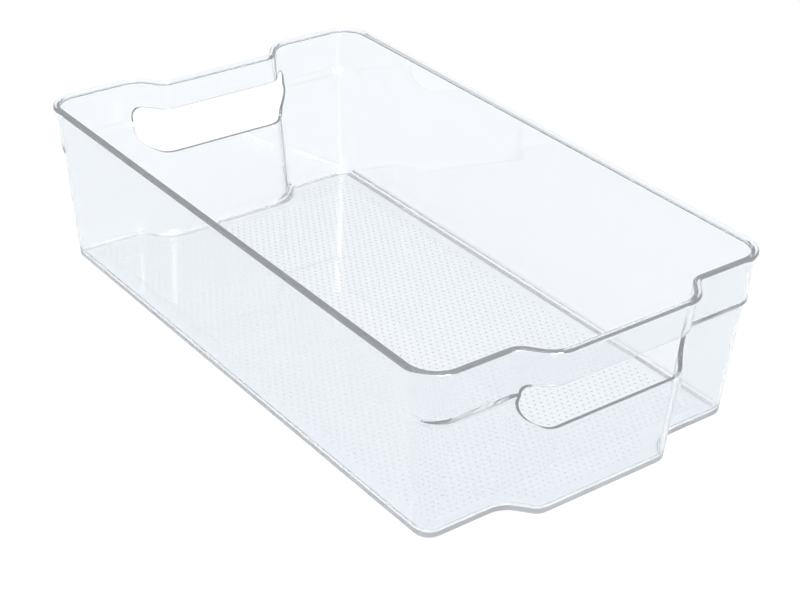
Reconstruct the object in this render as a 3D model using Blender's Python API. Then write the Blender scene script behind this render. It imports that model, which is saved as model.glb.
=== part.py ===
"""Clear open bin for a fridge shelf, moulded in one piece.

The middle of the front end stands forward between two steps, and the middle of
the rear end is set back by the same amount, so that bins in a row tuck into each
other. A grip opening in each end wraps round its steps. Metres, +Z up, the front
end at -Y, the origin under the middle of the whole bin.
"""

import math

import bmesh
import bpy

# Whole bin, measured over the rim
LENGTH = 0.366
WIDTH = 0.210
HEIGHT = 0.094

# Moulded wall, which leans out all round from the foot to the rim
WALL = 0.0020
FLOOR = 0.0022
DRAFT = math.radians(4.65)
CORNER_RADIUS = 0.018
LEAST_RADIUS = 0.0008
FOOT_FILLET = 0.0015
FLOOR_FILLET = 0.0055

# Rim bead, which stands out from the wall
RIM_OVERHANG = 0.0020
RIM_HEIGHT = 0.0028
RIM_ROUND = 0.0012
RIM_INNER_ROUND = 0.0007

# Steps of both ends, set out on the outline of the foot
STEP_SHIFT = 0.014
STEP_ANGLE = math.radians(50)
STEP_HALF_WIDTH = 0.045
STEP_RADIUS_TOP = 0.0075
STEP_RADIUS_FOOT = 0.0100

# Stacking shoulder: beside the steps the end walls stand upright below the rim,
# then drop back over a short ledge to the leaning wall
SHOULDER_DROP = 0.0245
SHOULDER_LEDGE = 0.0015
SHOULDER_INNER_LIFT = 0.0014

# Grip openings in both ends: how far down their tops lie, and their heights
FRONT_GRIP_DROP = 0.0198
FRONT_GRIP_HEIGHT = 0.0240
REAR_GRIP_DROP = 0.0165
REAR_GRIP_HEIGHT = 0.0260
GRIP_HALF_WIDTH = 0.0515
GRIP_TOP_RADIUS = 0.0055
GRIP_FOOT_RADIUS = 0.0140
CUT_OVERRUN = 0.0040

# Facets of the rounds
CORNER_SEGMENTS = 8
STEP_SEGMENTS = 6
FILLET_SEGMENTS = 4
GRIP_SEGMENTS = 8

LEAN = math.tan(DRAFT)
RIM_BASE = HEIGHT - RIM_HEIGHT
FOOT_INSET = RIM_OVERHANG + LEAN * RIM_BASE
QUARTER = math.pi / 2


def arc(centre, radius, start, end, segments):
    """Points on an arc from the start angle to the end angle, both ends included."""
    angles = [start + (end - start) * i / segments for i in range(segments + 1)]
    return [(centre[0] + radius * math.cos(a), centre[1] + radius * math.sin(a)) for a in angles]


def wall_inset(z):
    """How far the leaning outer face lies inside the rim's outline at a height."""
    return RIM_OVERHANG + LEAN * max(RIM_BASE - z, 0)


def shoulder_inset(z, depth):
    """The same for the end wall beside the steps, upright above its shoulder."""
    top = HEIGHT - SHOULDER_DROP + SHOULDER_INNER_LIFT * depth / WALL
    foot = top - SHOULDER_LEDGE
    share = min(max((z - foot) / SHOULDER_LEDGE, 0), 1)
    return wall_inset(z) + share * (RIM_OVERHANG - wall_inset(z))


def outline_sides(z, depth):
    """The twelve straight sides of the plan outline, each as a normal and its distance.

    They run anticlockwise, seen from above, from the left part of the front end.
    """
    inset = wall_inset(z) + depth
    beside = shoulder_inset(z, depth) + depth
    front, rear = -LENGTH / 2, LENGTH / 2
    across, along = math.sin(STEP_ANGLE), math.cos(STEP_ANGLE)
    front_middle = front + STEP_SHIFT / 2 + FOOT_INSET
    rear_middle = rear - STEP_SHIFT / 2 - FOOT_INSET
    front_step = across * STEP_HALF_WIDTH - along * front_middle + FOOT_INSET - inset
    rear_step = along * rear_middle - across * STEP_HALF_WIDTH + FOOT_INSET - inset
    return [
        ((0, -1), -front - STEP_SHIFT - beside),
        ((-across, -along), front_step),
        ((0, -1), -front - inset),
        ((across, -along), front_step),
        ((0, -1), -front - STEP_SHIFT - beside),
        ((1, 0), WIDTH / 2 - inset),
        ((0, 1), rear - beside),
        ((-across, along), rear_step),
        ((0, 1), rear - STEP_SHIFT - inset),
        ((across, along), rear_step),
        ((0, 1), rear - beside),
        ((-1, 0), WIDTH / 2 - inset),
    ]


def outline_rounds(z, depth):
    """Radius and facets of the round between each side and the next."""
    step = STEP_RADIUS_FOOT + (STEP_RADIUS_TOP - STEP_RADIUS_FOOT) * z / HEIGHT
    crest = (step - depth, STEP_SEGMENTS)
    root = (step + depth, STEP_SEGMENTS)
    corner = (CORNER_RADIUS - wall_inset(z) - depth, CORNER_SEGMENTS)
    front = [root, crest, crest, root]
    rear = [crest, root, root, crest]
    return front + [corner, corner] + rear + [corner, corner]


def outline(z, depth):
    """One ring of points at a height, on the face that lies this deep behind the outer one."""
    sides = outline_sides(z, depth)
    points = []
    for i, (radius, segments) in enumerate(outline_rounds(z, depth)):
        (n1, c1), (n2, c2) = sides[i], sides[(i + 1) % len(sides)]
        cross = n1[0] * n2[1] - n1[1] * n2[0]
        dot = n1[0] * n2[0] + n1[1] * n2[1]
        apex = ((c1 * n2[1] - c2 * n1[1]) / cross, (n1[0] * c2 - n2[0] * c1) / cross)
        radius = math.copysign(max(radius, LEAST_RADIUS), cross)
        centre = [apex[k] - radius * (n1[k] + n2[k]) / (1 + dot) for k in (0, 1)]
        start = math.atan2(n1[1], n1[0])
        points += arc(centre, radius, start, start + math.atan2(cross, dot), segments)
    return [(x, y, z) for x, y in points]


def section():
    """Stations of the wall as (depth, z): up the outside, over the rim, down to the floor."""
    ledge = HEIGHT - SHOULDER_DROP
    inner_ledge = ledge + SHOULDER_INNER_LIFT
    foot = arc((FOOT_FILLET, FOOT_FILLET), FOOT_FILLET, 3 * QUARTER, 2 * QUARTER, FILLET_SEGMENTS)
    bead_x = RIM_ROUND - RIM_OVERHANG
    under = arc((bead_x, RIM_BASE + RIM_ROUND), RIM_ROUND, 3 * QUARTER, 2 * QUARTER, FILLET_SEGMENTS)
    over = arc((bead_x, HEIGHT - RIM_ROUND), RIM_ROUND, 2 * QUARTER, QUARTER, FILLET_SEGMENTS)
    lip = (WALL - RIM_INNER_ROUND, HEIGHT - RIM_INNER_ROUND)
    inner = arc(lip, RIM_INNER_ROUND, QUARTER, 0, FILLET_SEGMENTS)
    bend = (WALL + FLOOR_FILLET, FLOOR + FLOOR_FILLET)
    floor = arc(bend, FLOOR_FILLET, 2 * QUARTER, 3 * QUARTER, FILLET_SEGMENTS)
    outside = foot + [(0, ledge - SHOULDER_LEDGE), (0, ledge), (0, RIM_BASE)] + under + over
    inside = inner + [(WALL, RIM_BASE), (WALL, inner_ledge), (WALL, inner_ledge - SHOULDER_LEDGE)]
    return outside + inside + floor


def moulded_shell():
    """The bin without its grips: one closed skin lofted through the section's stations."""
    mesh = bmesh.new()
    rings = [[mesh.verts.new(p) for p in outline(z, depth)] for depth, z in section()]
    for lower, upper in zip(rings, rings[1:]):
        for i in range(len(lower)):
            j = (i + 1) % len(lower)
            mesh.faces.new((lower[i], lower[j], upper[j], upper[i]))
    mesh.faces.new(reversed(rings[0]))
    mesh.faces.new(rings[-1])
    return mesh


def grip_outline(drop, height):
    """The opening seen from the front: small rounds above, a hand's rounds below."""
    top = HEIGHT - drop - GRIP_TOP_RADIUS
    top_x = GRIP_HALF_WIDTH - GRIP_TOP_RADIUS
    foot = HEIGHT - drop - height + GRIP_FOOT_RADIUS
    foot_x = GRIP_HALF_WIDTH - GRIP_FOOT_RADIUS
    points = arc((foot_x, foot), GRIP_FOOT_RADIUS, -QUARTER, 0, GRIP_SEGMENTS)
    points += arc((top_x, top), GRIP_TOP_RADIUS, 0, QUARTER, GRIP_SEGMENTS)
    points += arc((-top_x, top), GRIP_TOP_RADIUS, QUARTER, 2 * QUARTER, GRIP_SEGMENTS)
    points += arc((-foot_x, foot), GRIP_FOOT_RADIUS, 2 * QUARTER, 3 * QUARTER, GRIP_SEGMENTS)
    return points


def grip_cutter(drop, height, y_start, y_end):
    """The grip's outline carried through an end wall along Y."""
    mesh = bmesh.new()
    front = [mesh.verts.new((x, y_start, z)) for x, z in grip_outline(drop, height)]
    face = mesh.faces.new(front)
    swept = bmesh.ops.extrude_face_region(mesh, geom=[face])["geom"]
    moved = [v for v in swept if isinstance(v, bmesh.types.BMVert)]
    bmesh.ops.translate(mesh, verts=moved, vec=(0, y_end - y_start, 0))
    bmesh.ops.recalc_face_normals(mesh, faces=mesh.faces)
    return mesh


def add_object(name, mesh):
    data = bpy.data.meshes.new(name)
    mesh.to_mesh(data)
    mesh.free()
    made = bpy.data.objects.new(name, data)
    bpy.context.scene.collection.objects.link(made)
    return made


def clear_plastic():
    material = bpy.data.materials.new("clear_plastic")
    material.use_nodes = True
    shader = material.node_tree.nodes["Principled BSDF"]
    shader.inputs["Base Color"].default_value = (0.93, 0.95, 0.97, 1)
    shader.inputs["Metallic"].default_value = 0
    shader.inputs["Roughness"].default_value = 0.06
    shader.inputs["IOR"].default_value = 1.57
    shader.inputs["Transmission Weight"].default_value = 0.9
    return material


def cut_grip(body, name, cutter_mesh):
    cutter = add_object(name, cutter_mesh)
    cutter.hide_render = True
    cutter.display_type = "WIRE"
    cut = body.modifiers.new(name, "BOOLEAN")
    cut.operation = "DIFFERENCE"
    cut.solver = "EXACT"
    cut.object = cutter


for old in list(bpy.data.objects):
    bpy.data.objects.remove(old)

bin_body = add_object("bin", moulded_shell())
bin_body.data.materials.append(clear_plastic())
bin_body.data.shade_smooth()
bin_body.data.set_sharp_from_angle(angle=math.radians(30))

# Each cutter runs from outside its end to clear of the inner face beside the steps
front, rear = -LENGTH / 2 - CUT_OVERRUN, LENGTH / 2 + CUT_OVERRUN
reach = CUT_OVERRUN + STEP_SHIFT + FOOT_INSET + WALL + CUT_OVERRUN
front_cutter = grip_cutter(FRONT_GRIP_DROP, FRONT_GRIP_HEIGHT, front, front + reach)
rear_cutter = grip_cutter(REAR_GRIP_DROP, REAR_GRIP_HEIGHT, rear - reach, rear)
cut_grip(bin_body, "front_grip_cutter", front_cutter)
cut_grip(bin_body, "rear_grip_cutter", rear_cutter)
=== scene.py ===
"""Clear fridge bin, moulded in one piece, on a white table in soft studio light."""

import math

import bmesh
import bpy
from mathutils import Matrix, Vector


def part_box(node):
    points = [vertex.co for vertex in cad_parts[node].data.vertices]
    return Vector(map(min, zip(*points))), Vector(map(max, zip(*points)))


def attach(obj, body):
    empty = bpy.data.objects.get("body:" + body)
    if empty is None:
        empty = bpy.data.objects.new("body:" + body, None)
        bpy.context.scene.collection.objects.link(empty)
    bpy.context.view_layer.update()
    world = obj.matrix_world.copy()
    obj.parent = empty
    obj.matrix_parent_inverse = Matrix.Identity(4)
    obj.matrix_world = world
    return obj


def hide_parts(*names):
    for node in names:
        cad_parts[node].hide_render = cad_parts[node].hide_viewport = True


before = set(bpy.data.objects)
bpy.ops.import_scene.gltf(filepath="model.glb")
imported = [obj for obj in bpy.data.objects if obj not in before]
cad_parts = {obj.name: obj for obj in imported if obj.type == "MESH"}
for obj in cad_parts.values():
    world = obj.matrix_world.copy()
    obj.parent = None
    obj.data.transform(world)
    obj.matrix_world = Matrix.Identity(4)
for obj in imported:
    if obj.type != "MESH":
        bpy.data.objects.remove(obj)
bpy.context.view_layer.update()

# White table
# A wide sheet of white board that the bin stands on. It reads as pure white
# wherever the lens or the clear plastic looks at it, and still takes a shadow.
TABLE_SIZE = 12.0
TABLE_GAP = 0.0002
TABLE_WHITE = 0.88
GLOW_TO_PLASTIC = 0.12
GLOW_TO_LENS = 0.16

bpy.ops.mesh.primitive_plane_add(size=TABLE_SIZE, location=(0, 0, -TABLE_GAP))
table = bpy.context.object
table.name = "table"
bpy.ops.object.transform_apply(location=True)


def new_material(name):
    """A node material with its Principled shader, to be filled in."""
    material = bpy.data.materials.new(name)
    material.use_nodes = True
    return material, material.node_tree.nodes, material.node_tree.links


def calculate(nodes, links, operation, first, second=0.0):
    """One math node on two inputs, each either an output of another node or a number."""
    math_node = nodes.new("ShaderNodeMath")
    math_node.operation = operation
    for value, socket in zip((first, second), math_node.inputs):
        if isinstance(value, (int, float)):
            socket.default_value = value
        else:
            links.new(value, socket)
    return math_node.outputs[0]


board, nodes, links = new_material("white_board")
paint = nodes["Principled BSDF"]
paint.inputs["Base Color"].default_value = (TABLE_WHITE, TABLE_WHITE, TABLE_WHITE, 1)
paint.inputs["Roughness"].default_value = 1
paint.inputs["Specular IOR Level"].default_value = 0
glow = nodes.new("ShaderNodeEmission")
path = nodes.new("ShaderNodeLightPath")
by_plastic = calculate(
    nodes, links, "MAXIMUM", path.outputs["Is Glossy Ray"], path.outputs["Is Transmission Ray"]
)
to_plastic = calculate(nodes, links, "MULTIPLY", by_plastic, GLOW_TO_PLASTIC)
to_lens = calculate(nodes, links, "MULTIPLY", path.outputs["Is Camera Ray"], GLOW_TO_LENS)
links.new(calculate(nodes, links, "ADD", to_plastic, to_lens), glow.inputs["Strength"])
both = nodes.new("ShaderNodeAddShader")
links.new(paint.outputs[0], both.inputs[0])
links.new(glow.outputs[0], both.inputs[1])
links.new(both.outputs[0], nodes["Material Output"].inputs["Surface"])
table.data.materials.append(board)

# Studio light
# A pale tent all round, dimmer towards the ground, and one large soft lamp
# overhead, so that thin edges of clear plastic gather the dimmer light. A softbox
# in front and above puts streaks and glints on the plastic, and doesn't light the table.
TENT_COLOUR = (0.96, 0.982, 1, 1)
TENT_TOP = 0.80
TENT_GROUND = 0.68
TENT_RISE = 0.45
LAMP_SIZE = 1.6
LAMP_HEIGHT = 1.9
LAMP_POWER = 13
SOFTBOX_SIZE = 0.9
SOFTBOX_POWER = 90
SOFTBOX_TURN = math.radians(10)
SOFTBOX_LIFT = math.radians(40)
SOFTBOX_AWAY = 2.0


def map_range(nodes, links, value, given, wanted):
    """A node that turns one range of a value (from, to) into another."""
    node = nodes.new("ShaderNodeMapRange")
    node.inputs["From Min"].default_value, node.inputs["From Max"].default_value = given
    node.inputs["To Min"].default_value, node.inputs["To Max"].default_value = wanted
    links.new(value, node.inputs["Value"])
    return node


scene = bpy.context.scene
scene.view_settings.view_transform = "Standard"
tent = bpy.data.worlds.new("tent")
scene.world = tent
tent.use_nodes = True
nodes, links = tent.node_tree.nodes, tent.node_tree.links
toward = nodes.new("ShaderNodeTexCoord")
split = nodes.new("ShaderNodeSeparateXYZ")
links.new(toward.outputs["Generated"], split.inputs[0])
rise = map_range(nodes, links, split.outputs["Z"], (0, TENT_RISE), (TENT_GROUND, TENT_TOP))
rise.interpolation_type = "SMOOTHSTEP"
path = nodes.new("ShaderNodeLightPath")
shine = calculate(nodes, links, "MAXIMUM", rise.outputs["Result"], path.outputs["Is Camera Ray"])
links.new(shine, nodes["Background"].inputs["Strength"])
nodes["Background"].inputs["Color"].default_value = TENT_COLOUR

lamp = bpy.data.lights.new("overhead", "AREA")
lamp.shape = "SQUARE"
lamp.size = LAMP_SIZE
lamp.energy = LAMP_POWER
overhead = bpy.data.objects.new("overhead", lamp)
overhead.location = (0, 0, LAMP_HEIGHT)
scene.collection.objects.link(overhead)

key = bpy.data.lights.new("softbox", "AREA")
key.shape = "SQUARE"
key.size = SOFTBOX_SIZE
key.energy = SOFTBOX_POWER
softbox = bpy.data.objects.new("softbox", key)
round_bin = Matrix.Rotation(-SOFTBOX_TURN, 4, "Z")
upwards = Matrix.Rotation(math.pi / 2 - SOFTBOX_LIFT, 4, "X")
softbox.matrix_world = round_bin @ upwards @ Matrix.Translation((0, 0, SOFTBOX_AWAY))
softbox.visible_diffuse = False
scene.collection.objects.link(softbox)

# Camera
# Set up at the bin's front left, a little above it, at the distance and with
# the lens that the photograph's perspective gives.
CAMERA_TURN = math.radians(37.34)
CAMERA_LIFT = math.radians(30.24)
CAMERA_ROLL = math.radians(1.59)
CAMERA_PLACE = (-0.5058, -0.6739, 0.5077)
CAMERA_LENS = 82.09
CAMERA_SENSOR = 36

camera = bpy.data.objects.new("camera", bpy.data.cameras.new("camera"))
camera.data.lens = CAMERA_LENS
camera.data.sensor_width = CAMERA_SENSOR
turn = Matrix.Rotation(-CAMERA_TURN, 4, "Z")
tilt = Matrix.Rotation(math.pi / 2 - CAMERA_LIFT, 4, "X")
roll = Matrix.Rotation(CAMERA_ROLL, 4, "Z")
camera.matrix_world = Matrix.Translation(CAMERA_PLACE) @ turn @ tilt @ roll
scene.collection.objects.link(camera)
scene.camera = camera

# Moulded wall
# One skin of clear polystyrene, 2 mm thick, that leans out from the floor to the
# beaded rim. The front end's middle stands forward between two slanted steps, and
# the rear end's middle is set back, so that bins in a row tuck into each other.
WALL = 0.0020
FLOOR = 0.0014
LEAN = math.tan(math.radians(4.65))
STEP_SHIFT = 0.014
STEP_ANGLE = math.radians(50)
STEP_HALF_WIDTH = 0.045
CORNER_RADIUS = 0.018
CREST_RADIUS = 0.0180
ROOT_RADIUS = 0.0062
CORNER_FACETS = 16
STEP_FACETS = 10
PLATE_PARTS = 5
BEAD_WIDTH = 0.0020
BEAD_HEIGHT = 0.0028
BEAD_ROUND = 0.00135
LIP_ROUND = 0.0012
FOOT_ROUND = 0.0013
FLOOR_ROUND = 0.0045
ROUND_RINGS = 5
FLOOR_RINGS = 7
LEDGE_DROP = 0.0266
FRONT_INNER_LIFT = 0.0016
REAR_INNER_LIFT = 0.0021
LEDGE_HEIGHT = 0.0030
LEDGE_EASE = 0.0004
EASE_RINGS = 4
NEAR = 0.00004
NO_INSET = 0.000004

low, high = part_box("bin")
width, length, height = (high[k] - low[k] for k in range(3))
bead_foot = height - BEAD_HEIGHT


def edit(piece):
    """Opens one piece in edit mode, with all of it selected and nothing else."""
    bpy.ops.object.select_all(action="DESELECT")
    bpy.context.view_layer.objects.active = piece
    piece.select_set(True)
    bpy.ops.object.mode_set(mode="EDIT")
    bpy.ops.mesh.select_mode(type="VERT")
    bpy.ops.mesh.select_all(action="SELECT")


def pick(test):
    """Selects the corners that pass a test on their place, and what lies between them."""
    bpy.ops.mesh.select_all(action="DESELECT")
    mesh = bmesh.from_edit_mesh(bpy.context.object.data)
    for vertex in mesh.verts:
        if test(vertex.co):
            vertex.select = True
    mesh.select_flush_mode()
    bmesh.update_edit_mesh(bpy.context.object.data)


def shift(x=0.0, y=0.0, z=0.0):
    """Moves what is selected."""
    bpy.ops.transform.translate(value=(x, y, z))


def set_apart(test, half_width):
    """Brings a left and right pair of corners to this distance from the middle line."""
    pick(test)
    mesh = bmesh.from_edit_mesh(bpy.context.object.data)
    now = max(vertex.co.x for vertex in mesh.verts if vertex.select)
    bpy.ops.transform.resize(value=(half_width / now, 1, 1), center_override=(0, 0, 0))


def round_off(test, radius, turned, facets):
    """Rounds each corner of a flat outline that passes a test and turns by this angle."""
    mesh = bmesh.from_edit_mesh(bpy.context.object.data)
    for apex in [vertex.co.copy() for vertex in mesh.verts if test(vertex.co)]:
        pick(lambda co: (co - apex).length < NEAR)
        reach = radius * math.tan(turned / 2)
        bpy.ops.mesh.bevel(offset=reach, offset_type="ABSOLUTE", segments=facets, affect="VERTICES")
        mesh = bmesh.from_edit_mesh(bpy.context.object.data)
        bend = [vertex for vertex in mesh.verts if vertex.select]
        middle = sum((vertex.co for vertex in bend), Vector()) / len(bend)
        centre = apex + (middle - apex).normalized() * radius / math.cos(turned / 2)
        for vertex in bend:
            vertex.co = centre + (vertex.co - centre).normalized() * radius
        bmesh.update_edit_mesh(bpy.context.object.data)


def arc(centre, radius, start, end, facets):
    """Points on a round of the wall's section, with its angles in degrees."""
    angles = [math.radians(start + (end - start) * i / facets) for i in range(facets + 1)]
    return [(centre[0] + radius * math.cos(a), centre[1] + radius * math.sin(a)) for a in angles]


def leaning(points):
    """Stations (inset from the rim's outline, height) of points (depth in the wall, height)."""
    return [(BEAD_WIDTH + LEAN * (bead_foot - z) + depth, z) for depth, z in points]


def ledge_rings(tops):
    """Heights of the rings round the top and foot bends of one or more ledges, from above."""
    steps = [LEDGE_EASE * (1 - 2 * i / EASE_RINGS) for i in range(EASE_RINGS + 1)]
    bends = [top - drop for top in tops for drop in (0, LEDGE_HEIGHT)]
    return sorted((bend + step for bend in bends for step in steps), reverse=True)


def eased(rise):
    """A ramp that starts at 0 with a round in place of its corner."""
    if abs(rise) < LEDGE_EASE:
        return (rise + LEDGE_EASE) ** 2 / (4 * LEDGE_EASE)
    return max(rise, 0)


def ledge_share(top, z):
    """How far out the wall stands at a height, from 1 above its ledge to 0 below it."""
    return 1 - (eased(top - z) - eased(top - LEDGE_HEIGHT - z)) / LEDGE_HEIGHT


def press(stations):
    """Presses the selected face down, ring after ring, through stations (inset, height)."""
    for (inset, z), (next_inset, next_z) in zip(stations, stations[1:]):
        if next_inset - inset < NO_INSET:
            bpy.ops.mesh.extrude_region_move(TRANSFORM_OT_translate={"value": (0, 0, next_z - z)})
        else:
            bpy.ops.mesh.inset(thickness=next_inset - inset, depth=next_z - z)


# The rim's outline, as one flat plate whose ends are drawn out and set back
bpy.ops.object.select_all(action="DESELECT")
bpy.ops.mesh.primitive_grid_add(
    x_subdivisions=PLATE_PARTS,
    y_subdivisions=1,
    size=1,
    location=(0, STEP_SHIFT / 2, height - BEAD_ROUND),
)
shell = bpy.context.object
shell.name = "moulded_bin"
shell.scale = (width, length - STEP_SHIFT, 1)
bpy.ops.object.transform_apply(location=True, rotation=True, scale=True)
edit(shell)
middle_part = width / PLATE_PARTS
side_part = 2 * middle_part

# STEP_HALF_WIDTH holds at the foot, and the rim's steps lie further out by the wall's lean
foot_inset = leaning([(0, 0)])[0][0]
drift = foot_inset * math.tan(STEP_ANGLE / 2)
run = STEP_SHIFT / math.tan(STEP_ANGLE) / 2
for end in (-1, 1):
    half = STEP_HALF_WIDTH - end * drift
    set_apart(lambda co: co.y * end > 0 and middle_part < abs(co.x) < side_part, half + run)
    set_apart(lambda co: co.y * end > 0 and abs(co.x) < middle_part, half - run)
    shift(y=-STEP_SHIFT)
bpy.ops.mesh.select_all(action="SELECT")
bpy.ops.mesh.dissolve_faces()
side_y = length / 2 - STEP_SHIFT / 2
round_off(lambda co: abs(co.x) > side_part, CORNER_RADIUS, math.pi / 2, CORNER_FACETS)

# The outer bends of both ends' steps, then the inner ones
for test, radius in (
    (lambda co: co.y < -side_y, CREST_RADIUS),
    (lambda co: co.y > side_y, CREST_RADIUS),
    (lambda co: -side_y < co.y < 0, ROOT_RADIUS),
    (lambda co: 0 < co.y < side_y, ROOT_RADIUS),
):
    round_off(lambda co: abs(co.x) < side_part and test(co), radius, STEP_ANGLE, STEP_FACETS)
bpy.ops.object.mode_set(mode="OBJECT")

# A copy of the outline is pressed down as the outer face, from the bead to the underside
bpy.ops.object.duplicate()
outside = bpy.context.object
ledge = height - LEDGE_DROP
edit(outside)
shift(z=bead_foot + BEAD_ROUND - (height - BEAD_ROUND))
press(
    arc((BEAD_ROUND, bead_foot + BEAD_ROUND), BEAD_ROUND, 180, 270, ROUND_RINGS)
    + leaning([(0, bead_foot)] + [(0, z) for z in ledge_rings([ledge])])
    + leaning(arc((FOOT_ROUND, FOOT_ROUND), FOOT_ROUND, 180, 270, ROUND_RINGS))
)
bpy.ops.mesh.select_all(action="SELECT")
bpy.ops.mesh.flip_normals()
bpy.ops.object.mode_set(mode="OBJECT")

# The outline itself is pressed down as the inner face, from the bead's top to the floor
inner_lip = (BEAD_WIDTH + WALL - LIP_ROUND, height - LIP_ROUND)
bend = (WALL + FLOOR_ROUND, FLOOR + FLOOR_ROUND)
inner_ledge = {-1: ledge + FRONT_INNER_LIFT, 1: ledge + REAR_INNER_LIFT}
edit(shell)
press(
    arc((BEAD_ROUND, height - BEAD_ROUND), BEAD_ROUND, 180, 90, ROUND_RINGS)
    + arc(inner_lip, LIP_ROUND, 90, 0, ROUND_RINGS)
    + leaning([(WALL, bead_foot)] + [(WALL, z) for z in ledge_rings(inner_ledge.values())])
    + leaning(arc(bend, FLOOR_ROUND, 180, 270, FLOOR_RINGS))
)
bpy.ops.object.mode_set(mode="OBJECT")

# Both faces are joined along the bead
outside.select_set(True)
bpy.ops.object.join()
edit(shell)
bpy.ops.mesh.select_all(action="DESELECT")
bpy.ops.mesh.select_non_manifold()
bpy.ops.mesh.bridge_edge_loops()

# Stacking shoulder
# Beside the steps the end walls stand upright below the bead, then drop back over
# a short rounded ledge to the leaning wall. A bin stacked on top rests its foot there.
# The ledge lies a little higher on the inner face, at the front end (-1) and rear end (1).
for tops, depth in (({-1: ledge, 1: ledge}, 0), (inner_ledge, WALL)):
    for z in ledge_rings(set(tops.values())):
        inset = leaning([(depth, z)])[0][0]
        step_y = length / 2 - STEP_SHIFT / 2 - inset
        for end in (-1, 1):
            out = ledge_share(tops[end], z) * (inset - depth - BEAD_WIDTH)
            pick(lambda co: abs(co.z - z) < NEAR and co.y * end > 0 and abs(co.x) > side_part)
            shift(y=end * out)
            for side in (-1, 1):
                pick(
                    lambda co: abs(co.z - z) < NEAR and co.y * end > 0
                    and co.y > end * step_y and NEAR < co.x * side < side_part
                )
                shift(x=side * end * out / math.tan(STEP_ANGLE), y=end * out)
bpy.ops.object.mode_set(mode="OBJECT")

# Grip openings
# A hole for four fingers through each end wall, wrapped round both of its steps,
# with small rounds above and a hand's wide rounds below, and an eased edge all round.
# Each grip has its drop below the rim and its own height.
FRONT_GRIP = (0.0198, 0.0240)
REAR_GRIP = (0.0165, 0.0260)
GRIP_HALF_WIDTH = 0.0515
GRIP_TOP_RADIUS = 0.0055
GRIP_FOOT_RADIUS = 0.0140
GRIP_FACETS = 12
GRIP_EASE = 0.0005
GRIP_EASE_FACETS = 3
OVERRUN = 0.0040


def pick_edges(test):
    """Selects the edges that pass a test on their two ends."""
    bpy.ops.mesh.select_mode(type="EDGE")
    bpy.ops.mesh.select_all(action="DESELECT")
    mesh = bmesh.from_edit_mesh(bpy.context.object.data)
    for edge in mesh.edges:
        if test(*(vertex.co for vertex in edge.verts)):
            edge.select = True
    mesh.select_flush_mode()
    bmesh.update_edit_mesh(bpy.context.object.data)


def pick_faces(test):
    """Selects the faces that pass a test on their middle and normal."""
    bpy.ops.mesh.select_mode(type="FACE")
    bpy.ops.mesh.select_all(action="DESELECT")
    mesh = bmesh.from_edit_mesh(bpy.context.object.data)
    for face in mesh.faces:
        if test(face.calc_center_median(), face.normal):
            face.select = True
    mesh.select_flush_mode()
    bmesh.update_edit_mesh(bpy.context.object.data)


reach = OVERRUN + STEP_SHIFT + foot_inset + WALL + OVERRUN
for end, (drop, tall) in ((-1, FRONT_GRIP), (1, REAR_GRIP)):
    grip_z = height - drop - tall / 2
    place = (0, end * (length / 2 + OVERRUN - reach / 2), grip_z)
    bpy.ops.object.select_all(action="DESELECT")
    size = (2 * GRIP_HALF_WIDTH, reach, tall)
    bpy.ops.mesh.primitive_cube_add(size=1, location=place, scale=size)
    punch = bpy.context.object
    bpy.ops.object.transform_apply(location=True, rotation=True, scale=True)
    edit(punch)
    for upper, radius in ((True, GRIP_TOP_RADIUS), (False, GRIP_FOOT_RADIUS)):
        pick_edges(lambda a, b: abs(a.y - b.y) > reach / 2 and (a.z > grip_z) == upper)
        bpy.ops.mesh.bevel(offset=radius, segments=GRIP_FACETS, affect="EDGES")
    bpy.ops.object.mode_set(mode="OBJECT")
    cut = shell.modifiers.new("grip", "BOOLEAN")
    cut.operation = "DIFFERENCE"
    cut.solver = "EXACT"
    cut.object = punch
    bpy.ops.object.select_all(action="DESELECT")
    bpy.context.view_layer.objects.active = shell
    shell.select_set(True)
    bpy.ops.object.modifier_apply(modifier=cut.name)
    bpy.data.objects.remove(punch)
    edit(shell)
    pick_faces(
        lambda at, normal: at.y * end > 0 and abs(normal.y) < NEAR
        and abs(at.x) < GRIP_HALF_WIDTH + NEAR and abs(at.z - grip_z) < tall / 2 + NEAR
    )
    bpy.ops.mesh.region_to_loop()
    bpy.ops.mesh.bevel(
        offset=GRIP_EASE, segments=GRIP_EASE_FACETS, affect="EDGES", clamp_overlap=True
    )
    bpy.ops.object.mode_set(mode="OBJECT")

# Floor texture
# Low round dots in staggered rows all over the top of the floor, pressed by the
# mould to hide scuffs and to let packs slide. They end short of the floor's bend.
DOT_SIDES = 6
DOT_PITCH = 0.0040
DOT_RADIUS = 0.0006
DOT_RISE = 0.00014
DOT_CROWN = 0.00001
DOT_SHOULDER = 0.00018
DOT_MARGIN = 0.0026
BORDER_SCATTER = 0.00012
BORDER_SEED = 2
MERGE = 0.00001
FACING_UP = 0.99
SHARP_ANGLE = math.radians(35)
row_pitch = DOT_PITCH * math.sqrt(3) / 2
cell_corner = DOT_PITCH / math.sqrt(3)

bpy.ops.object.select_all(action="DESELECT")
bpy.ops.mesh.primitive_circle_add(vertices=DOT_SIDES, radius=DOT_RADIUS, location=(0, 0, 0))
dots = bpy.context.object
edit(dots)
bpy.ops.mesh.extrude_edges_move()
bpy.ops.transform.resize(value=(cell_corner / DOT_RADIUS, cell_corner / DOT_RADIUS, 1))
pick(lambda co: co.length < DOT_RADIUS + NEAR)
bpy.ops.mesh.edge_face_add()
pick_faces(lambda at, normal: normal.z < 0)
bpy.ops.mesh.flip_normals()
pick_faces(lambda at, normal: at.length < DOT_SHOULDER)
bpy.ops.mesh.inset(thickness=DOT_SHOULDER, depth=DOT_RISE)
bpy.ops.mesh.poke(offset=DOT_CROWN)
bpy.ops.object.mode_set(mode="OBJECT")

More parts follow.
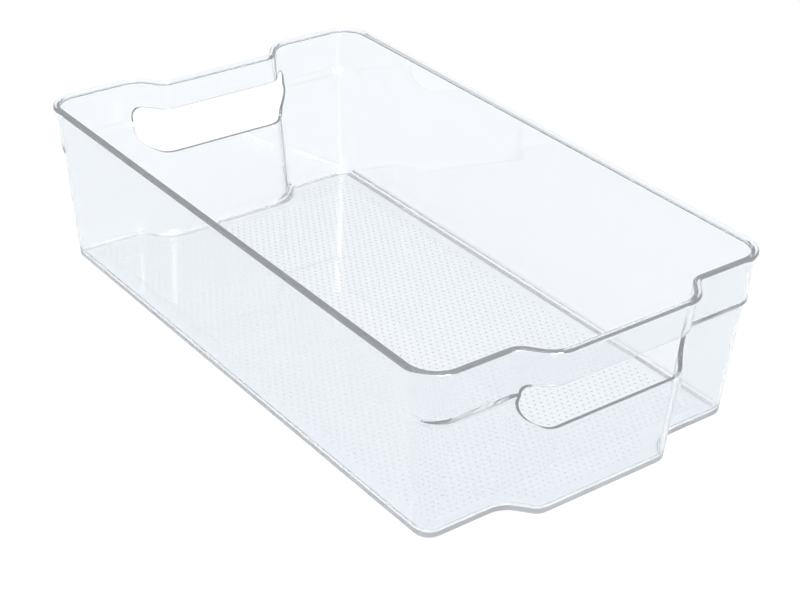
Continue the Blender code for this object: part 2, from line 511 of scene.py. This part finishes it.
floor_inset = leaning([(WALL + FLOOR_ROUND, FLOOR)])[0][0]
columns = int(width / DOT_PITCH)
row_pairs = int(length / row_pitch / 2)
for count, step in (
    (columns, (DOT_PITCH, 0, 0)),
    (2, (DOT_PITCH / 2, row_pitch, 0)),
    (row_pairs, (0, 2 * row_pitch, 0)),
):
    rows = dots.modifiers.new("rows", "ARRAY")
    rows.use_relative_offset = False
    rows.use_constant_offset = True
    rows.constant_offset_displace = step
    rows.count = count
    rows.use_merge_vertices = True
    rows.merge_threshold = MERGE
    bpy.ops.object.modifier_apply(modifier=rows.name)
corner = (-(columns - 1) / 2 * DOT_PITCH, -(row_pairs - 0.5) * row_pitch)
edit(dots)
shift(x=corner[0], y=corner[1], z=FLOOR)


def on_floor(x, y):
    """True where a dot's whole cell lies on the flat of the floor, clear of its bend."""
    inset = floor_inset + DOT_MARGIN + DOT_PITCH / 2
    across, along = math.sin(STEP_ANGLE), math.cos(STEP_ANGLE)
    middle_y = length / 2 - STEP_SHIFT / 2 - foot_inset
    if abs(x) > width / 2 - inset:
        return False
    if y < 0:
        step = across * STEP_HALF_WIDTH + along * middle_y + foot_inset - inset
        beside = y > STEP_SHIFT - length / 2 + inset
        return beside or (y > inset - length / 2 and across * abs(x) - along * y < step)
    step = along * middle_y - across * STEP_HALF_WIDTH + foot_inset - inset
    beside = y < length / 2 - STEP_SHIFT - inset
    return beside or (y < length / 2 - inset and along * y - across * abs(x) < step)


def cell_of(at):
    """The middle of the dot's cell that a point lies in."""
    row = round((at.y - corner[1]) / row_pitch)
    start = corner[0] + (row % 2) * DOT_PITCH / 2
    return start + round((at.x - start) / DOT_PITCH) * DOT_PITCH, corner[1] + row * row_pitch


# The field keeps the cells on the flat floor. Its border is scattered by a hair, so
# that no run of its corners lies in one line, which the fill below needs.
pick_faces(lambda at, normal: not on_floor(*cell_of(at)))
bpy.ops.mesh.delete(type="FACE")
pick_edges(lambda a, b: False)
bpy.ops.mesh.select_non_manifold()
bpy.ops.transform.vertex_random(offset=BORDER_SCATTER, seed=BORDER_SEED)
bpy.ops.transform.resize(value=(1, 1, 0))
bpy.ops.object.mode_set(mode="OBJECT")

# The field of dots takes the place of the floor's plain top, and the gap round it is filled
edit(shell)
pick_faces(lambda at, normal: abs(at.z - FLOOR) < NEAR and normal.z > FACING_UP)
bpy.ops.mesh.delete(type="FACE")
bpy.ops.object.mode_set(mode="OBJECT")
dots.select_set(True)
bpy.ops.object.join()
edit(shell)
pick_edges(lambda a, b: False)
bpy.ops.mesh.select_non_manifold()
bpy.ops.mesh.fill()
pick_faces(lambda at, normal: abs(at.z - FLOOR) < NEAR and normal.z < 0)
bpy.ops.mesh.flip_normals()
bpy.ops.object.mode_set(mode="OBJECT")
bpy.ops.object.shade_smooth_by_angle(angle=SHARP_ANGLE)
level = shell.modifiers.new("flat_walls", "WEIGHTED_NORMAL")
level.keep_sharp = True
bpy.ops.object.modifier_apply(modifier=level.name)

# Clear plastic
# Water-clear polystyrene with a faint cool cast, polished by the mould, with slight
# flow waves in its surface and a trace of haze. The underside is matt near its edge,
# from MATT_OUTSIDE out along X and Y, and the matt fades away over MATT_UP_TO in height.
PLASTIC_COLOUR = (0.930, 0.945, 0.960, 1)
PLASTIC_INDEX = 1.57
PLASTIC_CLEARNESS = 0.91
HAZE = (0.01, 0.05)
HAZE_SIZE = 0.030
FOOT_ROUGHNESS = 0.28
MATT_UP_TO = (0.0003, 0.0006)
MATT_OUTSIDE = (0.080, 0.148)
WAVE_SIZE = 0.018
WAVE_HEIGHT = 0.00002
SHADOW_COLOUR = (0.965, 0.97, 0.98, 1)

plastic, nodes, links = new_material("clear_plastic")
clear = nodes["Principled BSDF"]
clear.inputs["Base Color"].default_value = PLASTIC_COLOUR
clear.inputs["IOR"].default_value = PLASTIC_INDEX
clear.inputs["Transmission Weight"].default_value = PLASTIC_CLEARNESS
place = nodes.new("ShaderNodeTexCoord")
haze = nodes.new("ShaderNodeTexNoise")
haze.inputs["Scale"].default_value = 1 / HAZE_SIZE
links.new(place.outputs["Object"], haze.inputs["Vector"])
cloud = map_range(nodes, links, haze.outputs["Fac"], (0, 1), HAZE).outputs["Result"]
split = nodes.new("ShaderNodeSeparateXYZ")
links.new(place.outputs["Object"], split.inputs[0])
sides = [
    calculate(nodes, links, "GREATER_THAN", calculate(nodes, links, "ABSOLUTE", along), start)
    for along, start in zip(split.outputs, MATT_OUTSIDE)
]
ring = calculate(nodes, links, "MAXIMUM", *sides)
under = map_range(nodes, links, split.outputs["Z"], MATT_UP_TO, (FOOT_ROUGHNESS, 0))
foot = calculate(nodes, links, "MULTIPLY", ring, under.outputs["Result"])
links.new(calculate(nodes, links, "MAXIMUM", cloud, foot), clear.inputs["Roughness"])
flow = nodes.new("ShaderNodeTexNoise")
flow.inputs["Scale"].default_value = 1 / WAVE_SIZE
links.new(place.outputs["Object"], flow.inputs["Vector"])
waves = nodes.new("ShaderNodeBump")
waves.inputs["Distance"].default_value = WAVE_HEIGHT
links.new(flow.outputs["Fac"], waves.inputs["Height"])
links.new(waves.outputs["Normal"], clear.inputs["Normal"])

# Lamp light passes the thin walls, so that the table keeps only a faint shadow
path = nodes.new("ShaderNodeLightPath")
lamp_or_table = calculate(
    nodes, links, "MAXIMUM", path.outputs["Is Shadow Ray"], path.outputs["Is Diffuse Ray"]
)
through = nodes.new("ShaderNodeBsdfTransparent")
through.inputs["Color"].default_value = SHADOW_COLOUR
mixed = nodes.new("ShaderNodeMixShader")
links.new(lamp_or_table, mixed.inputs[0])
links.new(clear.outputs[0], mixed.inputs[1])
links.new(through.outputs[0], mixed.inputs[2])
links.new(mixed.outputs[0], nodes["Material Output"].inputs["Surface"])
shell.data.materials.clear()
shell.data.materials.append(plastic)

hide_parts("bin")
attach(shell, "root")
